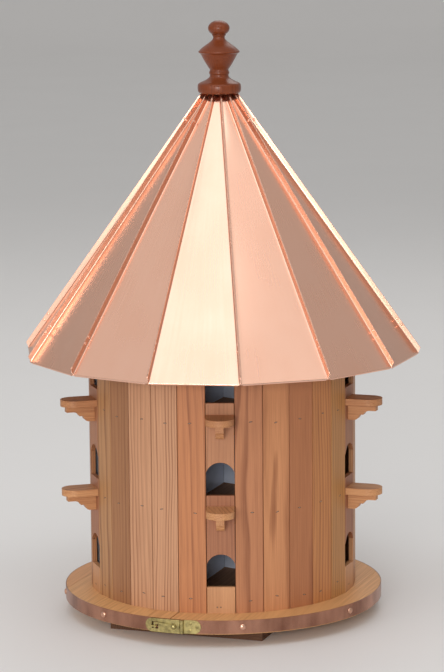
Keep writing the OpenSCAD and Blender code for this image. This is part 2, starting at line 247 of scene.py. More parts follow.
woodDefaults = {
    "spacing": 2.3,       # millimetres from one ring to the next
    "pithDepth": 110.0,   # how far behind the board its pith lies
    "pithLeast": 0.35,    # the least it does so, as a share of pithDepth
    "pithSpread": 170.0,  # how far to either side it may lie
    "lean": 0.025,        # how far the pith leans along the board
    "wander": 3.2,        # how far slow noise bends the rings
    "lines": 0.85,        # strength of the late wood
    "faintest": 0.2,      # strength of the faintest ring against the strongest
    "fibres": 1.2,        # strength of the fine fibres
    "cloud": 0.36,        # strength of the slow change of tone
    "ground": 0.16,       # how dark the wood is between its lines
    "groove": -0.5,       # height of the late wood against that of the fibres
    "apart": 900.0,       # how far the noise is shifted from board to board
    # fineness of each noise across and along the grain
    "wanderScale": (0.02, 0.0035), "fibreScale": (0.8, 0.012), "cloudScale": (0.07, 0.008),
    # darkness through one ring, from early to late wood
    "ring": [(0.0, 0.0), (0.45, 0.12), (0.86, 1.0), (1.0, 0.0)],
    # what the tint is multiplied by between the lines and in them
    "light": (1.14, 1.13, 1.11, 1.0), "dark": (0.60, 0.48, 0.40, 1.0),
    "roughness": 0.5,
    "depth": 0.00012,     # height of the grain in metres
    "edge": 0.0005,       # radius of the rounded edges in metres
}


def drawnNoise(w, point, shift, scales, detail, roughness=0.5):
    # noise at a point given as across, deep and along the grain, drawn out along it
    across, deep, along = point
    wide, long = scales
    where = w.vector(w.times(across, wide), w.times(deep, wide), w.total(w.times(along, long), shift))
    return w.noise(where, 1.0, detail, roughness)


def growWood(w, across, deep, along, seeds, tint, values):
    # the distance from a leaning pith line over the ring spacing: its fraction gives the late wood
    # and its whole number each ring's strength, and fibres and clouds of tone are laid over it
    v = {**woodDefaults, **values}
    point = (across, deep, along)
    shift = w.times(seeds[0], v["apart"])
    slow = drawnNoise(w, point, shift, v["wanderScale"], 2.0)
    lean = w.times(w.calc("SUBTRACT", seeds[2], 0.5), v["lean"])
    aside = w.times(w.calc("SUBTRACT", seeds[0], 0.5), 2 * v["pithSpread"])
    pithX = w.total(aside, w.times(along, lean))
    pithY = w.times(w.calc("ADD", seeds[1], v["pithLeast"]), -v["pithDepth"])
    dx = w.calc("SUBTRACT", across, pithX)
    dy = w.calc("SUBTRACT", deep, pithY)
    distance = w.calc("SQRT", w.total(w.times(dx, dx), w.times(dy, dy)))
    phase = w.calc("DIVIDE", w.total(distance, w.times(slow, v["wander"] * 2)), v["spacing"])
    within = w.calc("FRACT", phase)
    ring = w.calc("FLOOR", phase)
    strength = w.scatter(ring, seeds[1])[0]
    late = w.ramp(within, v["ring"])
    lines = w.times(late, w.calc("ADD", w.times(strength, 1 - v["faintest"]), v["faintest"]))
    fine = drawnNoise(w, point, shift, v["fibreScale"], 3.0, 0.6)
    cloud = drawnNoise(w, point, shift, v["cloudScale"], 2.0)
    shade = w.total(w.times(lines, v["lines"]), w.times(w.calc("SUBTRACT", fine, 0.5), v["fibres"]),
                    w.times(w.calc("SUBTRACT", cloud, 0.5), v["cloud"]), v["ground"])
    factor = w.add("ShaderNodeClamp", {0: shade}).outputs[0]
    grain = w.blend(factor, v["light"], v["dark"])
    colour = w.blend(1.0, tint, grain, "MULTIPLY")
    height = w.total(w.times(lines, v["groove"]), fine)
    return colour, height, v


def stavePlace(w):
    # across, deep and along a stave, and the number of the stave, from the azimuth of the point
    x, y, z = w.place()
    azimuth = w.calc("ARCTAN2", x, w.times(y, -1.0))
    pitch = math.radians(wall["pitch"])
    number = w.calc("ROUND", w.calc("DIVIDE", azimuth, pitch))
    inside = w.calc("SUBTRACT", azimuth, w.times(number, pitch))
    radius = w.calc("SQRT", w.total(w.times(x, x), w.times(y, y)))
    across = w.times(radius, w.calc("SINE", inside))
    deep = w.times(radius, w.calc("COSINE", inside))
    return across, deep, z, number


def splitPlace(w):
    # across and along the boards of the base, which lie along the split, and the height
    x, y, z = w.place()
    c = math.cos(math.radians(wall["split"]))
    s = math.sin(math.radians(wall["split"]))
    across = w.total(w.times(x, c), w.times(y, s))
    along = w.total(w.times(x, -s), w.times(y, c))
    return across, z, along


staveWood = {
    # tint of each stave by its number, which counts down to the left; each holds until the next. Each tint is
    # partly the stave's own colour and partly painted shade, darker towards the right
    "tintsWithPaintedShade": {
        -15: rgb(176, 123, 80), -13: rgb(183, 134, 93), -11: rgb(170, 113, 72),
        -9: rgb(185, 136, 96), -7: rgb(169, 115, 74), -5: rgb(177, 130, 87),
        -4: rgb(156, 109, 73), -3: rgb(191, 143, 109), -2: rgb(190, 142, 108),
        -1: rgb(183, 120, 77), 0: rgb(180, 125, 83), 1: rgb(178, 120, 83), 2: rgb(191, 132, 90),
        3: rgb(169, 110, 72), 4: rgb(185, 124, 74), 5: rgb(182, 130, 76), 6: rgb(185, 134, 92),
        8: rgb(174, 119, 78), 10: rgb(187, 140, 98), 12: rgb(176, 117, 76),
        13: rgb(169, 111, 70), 14: rgb(188, 137, 94)},
    "seed": 3.0, "lines": 0.95,
}


def makeStaveWood():
    w = Wiring("cedarStaves")
    across, deep, along, number = stavePlace(w)
    seeds = w.scatter(number, staveWood["seed"])
    first = min(staveWood["tintsWithPaintedShade"])
    span = wall["staves"] + 1.0
    position = w.calc("DIVIDE", w.total(number, 0.5 - first), span)
    stops = [((n - first) / span, colour) for n, colour in sorted(staveWood["tintsWithPaintedShade"].items())]
    # this ramp carries painted shade, darker towards the right, as well as each stave's own colour
    tint = w.ramp(position, stops, "CONSTANT")
    colour, height, v = growWood(w, across, deep, along, seeds, tint, staveWood)
    return w.finish(colour, v["roughness"], height=height, depth=v["depth"], edge=v["edge"])


blockWood = {
    "pale": rgb(197, 145, 102), "warm": rgb(152, 95, 65), "lines": 0.45,
    "sillTop": 76.0,      # height up to which the wood is the pale sill's
    "seam": 74.5,         # height of the lowest seam between blocks
    "storey": 124.0,      # from one seam to the next
    "palest": 0.5,        # how pale a block above the sill may be
}


def makeBlockWood():
    w = Wiring("cedarDoorBlocks")
    across, deep, along, number = stavePlace(w)
    above = w.calc("SUBTRACT", along, blockWood["seam"])
    storey = w.calc("FLOOR", w.calc("DIVIDE", above, blockWood["storey"]))
    seeds = w.scatter(number, storey)
    sill = w.calc("LESS_THAN", along, blockWood["sillTop"])
    paleness = w.calc("MAXIMUM", sill, w.times(seeds[2], blockWood["palest"]))
    tint = w.blend(paleness, blockWood["warm"], blockWood["pale"])
    colour, height, v = growWood(w, across, deep, along, seeds, tint, blockWood)
    return w.finish(colour, v["roughness"], height=height, depth=v["depth"], edge=v["edge"])


perchWood = {
    "pale": rgb(204, 152, 104), "dark": rgb(176, 122, 80), "spacing": 1.7, "pithDepth": 40.0,
    "pithSpread": 30.0, "lines": 0.7, "lean": 0.5, "seed": 7.0,
    "upperFrom": 250.0,   # height that parts the upper perches from the lower
    "upperDark": 0.55,    # how much darker the upper ones are
    "spread": 0.3,        # how far one perch may differ from the next
}


def makePerchWood():
    w = Wiring("cedarPerches")
    across, deep, up, number = stavePlace(w)
    upper = w.calc("GREATER_THAN", up, perchWood["upperFrom"])
    seeds = w.scatter(number, w.total(upper, perchWood["seed"]))
    darkness = w.total(w.times(upper, perchWood["upperDark"]), w.times(seeds[2], perchWood["spread"]))
    tint = w.blend(darkness, perchWood["pale"], perchWood["dark"])
    colour, height, v = growWood(w, across, up, deep, seeds, tint, perchWood)
    return w.finish(colour, v["roughness"], height=height, depth=v["depth"], edge=v["edge"])


baseWood = {
    "tint": rgb(214, 158, 106), "other": rgb(221, 173, 117), "spacing": 3.4, "pithDepth": 60.0,
    "pithSpread": 60.0, "wander": 12.0, "lean": 0.16, "lines": 0.5, "seed": 11.0,
    "strips": 190.2,      # how far from the split the outer strips start
    "knots": [(-150, -62), (96, 128)],   # across and along the boards
    "knotTint": rgb(112, 62, 36),
    "knotLong": 0.5,      # a knot's width over its length
    "knotPull": 22.0,     # how far a knot pushes the rings aside
    "knotReach": 0.09,    # how fast that dies away, for each millimetre
    "knotEdge": (4.0, 8.5),   # radii between which a knot's colour fades out
}


def makeBaseWood():
    w = Wiring("cedarBase")
    across, up, along = splitPlace(w)
    # main boards and strips are told apart by how far they lie from the split
    isStrip = w.calc("GREATER_THAN", w.calc("ABSOLUTE", across), baseWood["strips"])
    board = w.total(w.calc("SIGN", across), w.times(isStrip, 3.0))
    seeds = w.scatter(board, baseWood["seed"])
    tint = w.blend(seeds[2], baseWood["tint"], baseWood["other"])
    full, gone = baseWood["knotEdge"]
    pull = 0.0
    heart = 0.0
    for knotX, knotY in baseWood["knots"]:
        kx = w.calc("SUBTRACT", across, float(knotX))
        ky = w.times(w.calc("SUBTRACT", along, float(knotY)), baseWood["knotLong"])
        reach = w.calc("SQRT", w.total(w.times(kx, kx), w.times(ky, ky)))
        falling = w.calc("EXPONENT", w.times(reach, -baseWood["knotReach"]))
        pull = w.total(w.times(falling, baseWood["knotPull"]), pull)
        fading = w.add("ShaderNodeMapRange", {0: reach, 1: full, 2: gone, 3: 1.0, 4: 0.0})
        heart = w.total(fading.outputs[0], heart)
    colour, height, v = growWood(w, w.total(across, pull), up, along, seeds, tint, baseWood)
    colour = w.blend(heart, colour, baseWood["knotTint"])
    return w.finish(colour, v["roughness"], height=height, depth=v["depth"], edge=v["edge"])


innerWood = {
    "tint": rgb(150, 108, 76), "spacing": 4.0, "pithDepth": 70.0, "wander": 10.0, "roughness": 0.7,
    "seed": 4.0,
    "layer": 60.0,        # each such height has a grain of its own
}


def makeInnerWood():
    w = Wiring("innerBoards")
    across, up, along = splitPlace(w)
    layer = w.calc("FLOOR", w.calc("DIVIDE", up, innerWood["layer"]))
    seeds = w.scatter(layer, innerWood["seed"])
    colour, height, v = growWood(w, across, up, along, seeds, innerWood["tint"], innerWood)
    return w.finish(colour, v["roughness"], height=height, depth=v["depth"])


mountWood = {
    "tint": rgb(96, 66, 46), "spacing": 3.0, "pithDepth": 50.0, "wander": 9.0, "roughness": 0.75,
    "depth": 0.0003, "edge": 0.0008, "seeds": (2.0, 9.0),
}


def makeMountWood():
    w = Wiring("mountBoardWood")
    across, up, along = splitPlace(w)
    seeds = w.scatter(*mountWood["seeds"])
    colour, height, v = growWood(w, across, up, along, seeds, mountWood["tint"], mountWood)
    return w.finish(colour, v["roughness"], height=height, depth=v["depth"], edge=v["edge"])


finialWood = {
    "tint": rgb(120, 60, 32), "roughness": 0.28, "spacing": 2.2, "pithDepth": 22.0, "pithSpread": 16.0,
    "lean": 0.3, "wander": 5.0, "lines": 0.6, "dark": (0.55, 0.38, 0.30, 1.0), "depth": 0.00006,
    "shine": 0.3, "seeds": (5.0, 2.0),
}


def makeFinialWood():
    w = Wiring("turnedRedwood")
    x, y, z = w.place()
    seeds = w.scatter(*finialWood["seeds"])
    colour, height, v = growWood(w, x, y, z, seeds, finialWood["tint"], finialWood)
    return w.finish(colour, v["roughness"], height=height, depth=v["depth"], Specular_IOR_Level=v["shine"])


copper = {
    "bright": (0.95, 0.60, 0.46, 1.0), "warm": (0.91, 0.50, 0.35, 1.0), "smooth": 0.2, "dull": 0.34,
    "patches": 0.8,       # share of the slow patches in the wear
    "streaks": 0.35,      # share of the streaks
    "fresh": 0.1,         # wear taken off everywhere
    "streakScale": (60.0, 0.012),   # fineness of the streaks round the roof and down it
    "waves": 6.0, "depth": 0.0002,  # height of the waves in the sheet, in units of depth in metres
    "patchScale": 0.012, "waveScale": 0.009,
}


def makeRoofCopper():
    # rolled sheet: slow patches of sheen, faint streaks down the slope and a little dulling
    w = Wiring("roofCopper")
    x, y, z = w.place()
    slow = w.noise(w.vector(x, y, z), copper["patchScale"], 3.0)
    azimuth = w.calc("ARCTAN2", x, y)
    aroundScale, downScale = copper["streakScale"]
    streak = w.noise(w.vector(w.times(azimuth, aroundScale), w.times(z, downScale), 0.0), 1.0, 3.0)
    worn = w.total(w.times(slow, copper["patches"]), w.times(streak, copper["streaks"]), -copper["fresh"])
    wear = w.add("ShaderNodeClamp", {0: worn}).outputs[0]
    colour = w.blend(wear, copper["bright"], copper["warm"])
    roughness = w.total(copper["smooth"], w.times(wear, copper["dull"] - copper["smooth"]))
    waves = w.noise(w.vector(x, y, z), copper["waveScale"], 0.0)
    height = w.times(waves, copper["waves"])
    return w.finish(colour, roughness, metallic=1.0, height=height, depth=copper["depth"])


# the band's colours are darkened well below bare copper: a painted reflection of a dark floor
bandCopperPaintedDarkReflection = {"bright": (0.54, 0.28, 0.19, 1.0), "dark": (0.26, 0.12, 0.08, 1.0), "roughness": 0.24}
rivetCopper = {"bright": (0.86, 0.52, 0.38, 1.0), "dark": (0.62, 0.34, 0.23, 1.0), "roughness": 0.24}
stripMarks = {
    "patchScale": 0.03, "patchTall": 0.3,   # fineness of the dark patches, and of their height against it
    "patchEdge": (0.35, 0.7),
    "lineScale": 0.25, "lineTall": 9.0,     # the same for the marks along the strip
    "roughen": 0.1, "depth": 0.00005,
}


def makeBandCopper(name, look):
    # bright metal darkened in slow patches, with fine marks along the strip
    w = Wiring(name)
    x, y, z = w.place()
    m = stripMarks
    slow = w.noise(w.vector(x, y, w.times(z, m["patchTall"])), m["patchScale"], 4.0)
    start, end = m["patchEdge"]
    colour = w.blend(w.ramp(slow, [(start, 0.0), (end, 1.0)]), look["bright"], look["dark"])
    fine = w.noise(w.vector(x, y, w.times(z, m["lineTall"])), m["lineScale"], 2.0)
    roughness = w.total(look["roughness"], w.times(fine, m["roughen"]))
    return w.finish(colour, roughness, metallic=1.0, height=fine, depth=m["depth"])


brassLook = {
    "bright": (0.56, 0.47, 0.20, 1.0), "dark": (0.22, 0.18, 0.08, 1.0), "roughness": 0.36,
    "patchScale": 0.16, "patchEdge": (0.4, 0.75), "roughen": 0.15, "depth": 0.0001, "edge": 0.0003,
}


def makeBrass():
    # dull brass darkened in small patches
    w = Wiring("agedBrass")
    x, y, z = w.place()
    b = brassLook
    slow = w.noise(w.vector(x, y, z), b["patchScale"], 4.0, 0.6)
    start, end = b["patchEdge"]
    colour = w.blend(w.ramp(slow, [(start, 0.0), (end, 1.0)]), b["bright"], b["dark"])
    roughness = w.total(b["roughness"], w.times(slow, b["roughen"]))
    return w.finish(colour, roughness, metallic=1.0, height=slow, depth=b["depth"], edge=b["edge"])


sheetLook = {
    "pale": rgb(228, 236, 248), "dull": rgb(200, 208, 226), "roughness": 0.42, "metallic": 0.1,
    "patchScale": 0.03, "depth": 0.0002,
}


def makeDividerSheet():
    w = Wiring("dividerSheet")
    x, y, z = w.place()
    s = sheetLook
    slow = w.noise(w.vector(x, y, z), s["patchScale"], 3.0)
    colour = w.blend(slow, s["pale"], s["dull"])
    return w.finish(colour, s["roughness"], metallic=s["metallic"], height=slow, depth=s["depth"])


stapleLook = {
    "steel": (0.46, 0.41, 0.35, 1.0), "steelRoughness": 0.45,
    # the slot colour is painted shade: a dark patch standing for the shadow in a staple's recess
    "slot": (0.09, 0.045, 0.025, 1.0), "slotRoughness": 0.8,
    "darkest": 0.5, "fineness": 0.9, "metallic": 0.6, "depth": 0.0001,
}


def makeSteel(name, tint, roughness):
    # fine noise between the tint and a darker share of it
    w = Wiring(name)
    x, y, z = w.place()
    s = stapleLook
    fine = w.noise(w.vector(x, y, z), s["fineness"], 3.0)
    colour = w.blend(fine, tint, tuple(s["darkest"] * c for c in tint[:3]) + (1.0,))
    return w.finish(colour, roughness, metallic=s["metallic"], height=fine, depth=s["depth"])


print("materials")
looks = {
    "stave_cedar": makeStaveWood(), "block_cedar": makeBlockWood(), "perch_cedar": makePerchWood(),
    "base_cedar": makeBaseWood(), "inner_wood": makeInnerWood(), "mount_wood": makeMountWood(),
    "finial_wood": makeFinialWood(), "roof_copper": makeRoofCopper(),
    "band_copper": makeBandCopper("bandCopperPaintedDarkReflection", bandCopperPaintedDarkReflection),
    "brass": makeBrass(), "divider_sheet": makeDividerSheet(),
}
markSteel = makeSteel("fastenerSteel", stapleLook["steel"], stapleLook["steelRoughness"])
rivetLook = makeBandCopper("rivetCopper", rivetCopper)
# the dark patches under the staples and nails, painted shade of their recesses
markShadow = makeSteel("fastenerSlotPaintedShade", stapleLook["slot"], stapleLook["slotRoughness"])

slotOf = {s["node"]: s["material_slot"] for s in frame["record"]["subparts"]}
for nodeName, piece in nodes.items():
    piece.data.materials.clear()
    piece.data.materials.append(looks[slotOf[nodeName]])


roofShape = {
    "panels": 14, "slope": 55, "turn": -6.8,
    "flange": 7.0,       # height of the turned-up edges
    "fold": 1.6,         # size of the fold at their feet
    "sheet": 0.8,
    "halfGap": 0.15,     # from a seam to the flange beside it
    "notch": 1.5,        # where the flanges start above the eave
    "dish": 1.3,         # how far a panel may belly in or out
    "ripple": 0.5,       # height of the ripples up a panel
    "ripples": 1.4,      # how many there are from eave to top
    "fade": 7,           # they fade out over one part in this many at each end
    "lowest": 0.12,      # height of a flange at the eave, as a share of its full height
    "gather": 6,         # from the end of that rise to the first of the even rows
    "rows": 34, "across": 21, "foldPoints": 6,
    "flangePoints": (0.35, 0.75, 0.96, 1.0),   # where a flange's points lie up its height
    "seed": 14,
}


def roofFrame():
    # eave height, top height, apex height and the eave's corner radius, all in millimetres; the apex
    # lies above the eave by a side's distance from the axis times the tangent of the slope
    corners = np.empty(len(nodes["roof_panels"].data.vertices) * 3)
    nodes["roof_panels"].data.vertices.foreach_get("co", corners)
    corners = corners.reshape(-1, 3) * 1000
    low = corners[:, 2].min()
    top = corners[:, 2].max()
    atEave = corners[corners[:, 2] < low + 0.5]
    reach = np.hypot(atEave[:, 0], atEave[:, 1]).max()
    half = math.pi / roofShape["panels"]
    apex = low + reach * math.cos(half) * math.tan(math.radians(roofShape["slope"]))
    return low, top, apex, reach


def turned(local, azimuth):
    # points given as sideways, outward, up are turned to an azimuth and put in metres
    outward, sideways = facing(azimuth)
    flat = local[..., :1] * sideways + local[..., 1:2] * outward
    return (flat + local[..., 2:] * np.array([0, 0, 1.0])) * mm


def panelGrid(dish, wave):
    # one folded panel: its half width is the distance from the axis times the tangent of half a
    # panel's angle, less the gap; a parabola across times a sine up the slope bellies it, and its two
    # edges fold up along the seams
    r = roofShape
    low, top, apex, _ = roofFrame()
    half = math.pi / r["panels"]
    slope = math.radians(r["slope"])
    seamSlope = math.atan(math.tan(slope) * math.cos(half))
    seamLength = (top - low) / math.sin(seamSlope)
    start = np.array([0, r["notch"], r["notch"] + r["flange"] / 2])
    distance = np.concatenate([start, np.linspace(start[-1] + r["gather"], seamLength, r["rows"])])
    share = (distance / seamLength)[:, None]
    z = low + share * (top - low)
    flat = (apex - z) / math.tan(slope)
    offset = (r["halfGap"] + r["sheet"]) / math.cos(half)
    corner = flat * math.tan(half) - offset
    rise = np.clip((distance - r["notch"]) / (r["flange"] / 2), r["lowest"], 1)[:, None] * r["flange"]
    lift = np.array([math.sin(half) * math.sin(seamSlope), math.cos(half) * math.sin(seamSlope),
                     math.cos(seamSlope)])
    normal = np.array([0, math.sin(slope), math.cos(slope)])
    side = np.array([1.0, 0, 0])
    edge = np.concatenate([corner, flat, z], axis=1)[:, None, :]
    t = np.linspace(0, 1, r["foldPoints"])[None, :, None]
    fold = np.minimum(r["fold"], 0.5 * rise)[:, :, None]
    bend = edge - side * fold * (1 - t) ** 2 + lift * fold * t ** 2
    f = np.array(r["flangePoints"])[None, :, None]
    wall = edge + lift * (fold + (rise[:, :, None] - fold) * f)
    c = np.linspace(-1, 1, r["across"])[None, 1:-1, None]
    width = (corner - fold[:, :, 0])[:, :, None]
    belly = (1 - c ** 2) * np.sin(np.pi * share[:, :, None]) * dish
    fade = np.clip(r["fade"] * share, 0, 1) * np.clip(r["fade"] - r["fade"] * share, 0, 1)
    ripple = np.sin(2 * np.pi * (r["ripples"] * share + wave)) * fade
    belly = belly + (1 - c ** 2) * r["ripple"] * ripple[:, :, None]
    middle = side * width * c + normal * belly + np.array([0, 1.0, 0]) * flat[:, :, None]
    middle = middle + np.array([0, 0, 1.0]) * z[:, :, None]
    right = np.concatenate([bend, wall], axis=1)
    left = right[:, ::-1] * np.array([-1, 1, 1])
    return np.concatenate([left, middle, right], axis=1)


def makeRoofPanels():
    # a panel of its own belly and ripple on every side, turned to its azimuth, all given one thickness
    r = roofShape
    random = np.random.default_rng(r["seed"])
    points = []
    faces = []
    for k in range(r["panels"]):
        dish = random.uniform(-1, 1) * r["dish"]
        wave = random.uniform(0, 1)
        grid = panelGrid(dish, wave)
        quads = gridFaces(grid.shape[0], grid.shape[1])
        faces.append(quads + sum(len(p) for p in points))
        points.append(turned(grid, r["turn"] + k * 360 / r["panels"]).reshape(-1, 3))
    piece = makePiece("foldedCopperPanels", np.concatenate(points), faces, "house",
                      looks["roof_copper"], 60)
    sheet = piece.modifiers.new("sheet", "SOLIDIFY")
    sheet.thickness = r["sheet"] * mm
    sheet.offset = -1
    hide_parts("roof_panels")


hemShape = {
    "thick": 2.4, "deep": 9.0,
    "inset": 3.5,         # from the corner of the eave to the hem's end
    "gap": 0.1,           # from the sheet to the hem
    "past": 0.6,          # how far the hem's middle lies past the eave
    "mitre": 2.0,         # how much shorter the inner edge is at each end
    "crisp": 40,          # the cut stays close to the ends when this is large
    "segments": 10, "places": 9,
}


def makeEaveHems():
    # a flat bar with a half-round nose under each panel's lower edge, carried from seam to seam
    h = hemShape
    low, _, _, reach = roofFrame()
    half = math.pi / roofShape["panels"]
    slope = math.radians(roofShape["slope"])
    flat = reach * math.cos(half)
    down = np.array([0, math.cos(slope), -math.sin(slope)])
    normal = np.array([0, math.sin(slope), math.cos(slope)])
    turn = np.linspace(-np.pi / 2, np.pi / 2, h["segments"])
    nose = h["thick"] / 2
    outline = [(nose * math.cos(a), nose * math.sin(a)) for a in turn]
    outline = np.array(outline + [(-h["deep"], nose), (-h["deep"], -nose)])
    rim = down * outline[:, :1] + normal * (outline[:, 1:] - nose - h["gap"])
    width = flat * math.tan(half) - h["inset"]
    ends = np.linspace(-width, width, h["places"])
    side = np.array([1.0, 0, 0])
    local = rim[None] + np.array([0, flat, low]) - down * h["past"] + side * ends[:, None, None]
    # the ends are cut back at an angle, so that the hem mitres at the seam
    nearEnd = np.sign(ends) * np.clip(np.abs(ends) / width, 0, 1) ** h["crisp"]
    cut = (outline[:, 0] - nose) / h["deep"] * h["mitre"]
    local = local + side * nearEnd[:, None, None] * cut[None, :, None]
    count = local.shape[1]
    quads = gridFaces(len(ends), count, closed=True)
    cap = np.arange(count)[None]
    points = []
    faces = []
    for k in range(roofShape["panels"]):
        base = k * len(ends) * count
        points.append(turned(local, roofShape["turn"] + k * 360 / roofShape["panels"]).reshape(-1, 3))
        faces += [quads + base, cap + base, cap[:, ::-1] + base + (len(ends) - 1) * count]
    makePiece("eaveHems", np.concatenate(points), faces, "house", looks["roof_copper"], 50)


def domeShape(segments=14, rings=5, skirt=0.15, tip=0.08):
    # half a ball of radius 1 standing on z = 0, with a short straight skirt below and a small flat tip
    turn = np.linspace(0, np.pi / 2, rings, endpoint=False)
    profile = [(1.0, -skirt)] + [(math.cos(a), math.sin(a)) for a in turn] + [(tip, 1.0)]
    return revolve(profile, segments)


seamRivets = {
    "radius": 1.9, "height": 0.9,
    "low": [46, 56],      # distances up the seam from the eave
    "fromTop": [46],      # distances down it from the top
    "up": 4.2,            # height above the seam's foot
}


def makeSeamRivets():
    # domed heads on both sides of each seam, near the eave and near the finial
    s = seamRivets
    low, top, _, reach = roofFrame()
    half = math.pi / roofShape["panels"]
    seamSlope = math.atan(math.tan(math.radians(roofShape["slope"])) * math.cos(half))
    seamLength = (top - low) / math.sin(seamSlope)
    along = np.array(s["low"] + [seamLength - d for d in s["fromTop"]])
    origins, across, upward, outward = [], [], [], []
    for k in range(roofShape["panels"]):
        azimuth = roofShape["turn"] + (k + 0.5) * 360 / roofShape["panels"]
        out, sideways = facing(azimuth)
        rising = -out * math.cos(seamSlope) + np.array([0, 0, math.sin(seamSlope)])
        lift = out * math.sin(seamSlope) + np.array([0, 0, math.cos(seamSlope)])
        foot = out * reach + np.array([0, 0, low])
        for sign in (-1, 1):
            for d in along:
                face = sign * (roofShape["halfGap"] + roofShape["sheet"])
                origins.append(foot + rising * d + lift * s["up"] + sideways * face)
                across.append(rising * sign)
                upward.append(lift)
                outward.append(sideways * sign)
    shape, faces = domeShape()
    scaled = shape * np.array([s["radius"], s["radius"], s["height"]])
    points, copies = stamp(scaled, faces, origins, across, upward, outward)
    makePiece("seamRivets", points * mm, copies, "house", looks["roof_copper"], 50)


finialShape = {
    # radius and height in millimetres of the corners below the ball, for a foot of 29.4 and a height of 98
    "corners": [
        (26.4, 0), (28.6, 1.5), (29.4, 5), (29.4, 10.2), (28.4, 13), (25, 15), (20, 17), (15.5, 19.6),
        (13.2, 21.8), (12.7, 23.4), (12.7, 25.2), (13.5, 26.2), (13.7, 27.6), (13.4, 29.2), (12.5, 30.4),
        (12.7, 32.4), (15, 35.4), (18.9, 41.6), (22.3, 47.8), (25, 53.2), (26.4, 54.2), (27.9, 54.9),
        (27.9, 56.6), (26.6, 57.6), (24.6, 59.8), (20.5, 63.2), (14.5, 67.2), (10.4, 70.6), (8.2, 73.2),
        (7.8, 75.4), (8.4, 77), (9.4, 78), (9.4, 79)],
    "foot": 29.4, "tall": 98.0,
    "ball": (14.6, 10.5, 87.5),   # half width, half height and middle height of the ball
    "ballTurn": (-53, 89.5, 22),  # first and last angle round it, and how many points
    "segments": 72,
}


def makeFinial():
    # a profile of softened corners with an ellipse for its ball, turned about the axis
    f = finialShape
    low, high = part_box("finial")
    wide, flat, middle = f["ball"]
    turn = np.radians(np.linspace(*f["ballTurn"]))
    ball = np.stack([wide * np.cos(turn), middle + flat * np.sin(turn)], axis=-1)
    profile = np.concatenate([softened(f["corners"], 2), ball])
    profile = profile * np.array([(high.x - low.x) / 2 / f["foot"], (high.z - low.z) / f["tall"]])
    points, faces = revolve(profile, f["segments"])
    points[:, 2] += low.z
    piece = makePiece("turnedFinial", points, faces, "house", looks["finial_wood"], 40)
    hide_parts("finial")


staples = {
    "heights": [17.6, 136.8, 257.4],   # of the rows above the base board
    # half length, half width and height of a crown, and of the dark patch round it, which is painted shade of the
    # slot the staple sits in
    "crown": (1.8, 0.42, 0.22), "slot": (2.6, 0.75, 0.07),
    "aside": 5, "drop": 3, "tilt": 0.35,   # how far a crown may stray, in millimetres and radians
    "nails": (-5.3, -0.7),   # sideways places of the nail heads at the foot of a doorway column
    "nailHeight": 8.5,
    "nailSize": 1.3,         # a nail head's radius over a crown's half width
    "seed": 30,
}


def makeStaples():
    # a staple crown across each stave at each floor, straying at random from its middle, and two nail
    # heads at the foot of each doorway column, all as flat domes on a dark patch of painted slot shade
    s = staples
    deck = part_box("base_board_right")[1].z * 1000
    face = -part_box("front_door_blocks")[0].y * 1000
    up = np.array([0, 0, 1.0])
    random = np.random.default_rng(s["seed"])
    groups = {"house": [], "left_half": []}
    for number in range(wall["staves"]):
        jitter = random.uniform(-1, 1, (3, 3))
        if number % wall["columnEvery"] == 0:
            continue
        out, sideways = facing(number * wall["pitch"])
        for height, (shift, drop, tilt) in zip(s["heights"], jitter):
            origin = out * face + sideways * s["aside"] * shift + up * (deck + height + s["drop"] * drop)
            groups[bodyOf(number)].append((origin, sideways, out, s["tilt"] * tilt, False))
    for number in range(0, wall["staves"], wall["columnEvery"]):
        out, sideways = facing(number * wall["pitch"])
        for place in s["nails"]:
            origin = out * face + sideways * place + up * (deck + s["nailHeight"])
            groups[bodyOf(number)].append((origin, sideways, out, 0.0, True))
    shape, faces = domeShape(12, 3)
    # the slot patches are painted shade, laid flat under each crown and nail head
    parts = {"Crowns": (s["crown"], "brass", markSteel), "SlotPaintedShades": (s["slot"], "stave_cedar", markShadow)}
    for body, marks in groups.items():
        for part, ((long, thin, tall), slotName, material) in parts.items():
            origins, across, along, outward = [], [], [], []
            for origin, sideways, out, angle, isNail in marks:
                wide, narrow = [thin * s["nailSize"]] * 2 if isNail else (long, thin)
                origins.append(origin)
                across.append((sideways * math.cos(angle) + up * math.sin(angle)) * wide)
                along.append((up * math.cos(angle) - sideways * math.sin(angle)) * narrow)
                outward.append(out * tall)
            points, copies = stamp(shape, faces, origins, across, along, outward)
            makePiece("staple" + part + body.title().replace("_", ""), points * mm, copies, body,
                      material, 50)


bandRivets = {
    # azimuths of the rivets of each half
    "house": [7.5, 51.8, 96, 140], "left_half": [-46.4, -83, -120, -157],
    "radius": 4.3, "height": 2.3,
}


def makeBandRivets():
    # a domed head on the band at each azimuth, halfway up it
    low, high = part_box("rim_band_right")
    middle = (low.z + high.z) / 2 * 1000
    reach = -low.y * 1000
    shape, faces = domeShape(20, 7)
    scaled = shape * np.array([bandRivets["radius"], bandRivets["radius"], bandRivets["height"]])
    for body in ("house", "left_half"):
        out, sideways = facing(bandRivets[body])
        up = np.broadcast_to([0, 0, 1.0], out.shape)
        points, copies = stamp(scaled, faces, out * reach + up * middle, sideways, up, out)
        makePiece("bandRivets" + body.title().replace("_", ""), points * mm, copies, body,
                  rivetLook, 50)


screws = {
    "radius": 2.15, "dome": 0.75,
    "arm": 1.35, "cut": 0.32,   # half length and half width of the cross
    "press": 0.55,              # its depth
    "sharp": (14, 18),          # how steep its ends and its sides are
    "rise": 0.1, "skirt": -0.4,   # heights of the rim and of the skirt's foot
    "rings": 14, "turns": 40,
    "leaf": 25.5,               # width of a leaf
    "front": 1.6,               # from the band's face to the leaf's
    # places across and up a leaf, as shares, and how far each head is turned in degrees
    "places": [(0.45, 0.25), (0.45, 0.75), (0.78, 0.5)], "spins": [20, -35, 50],
}


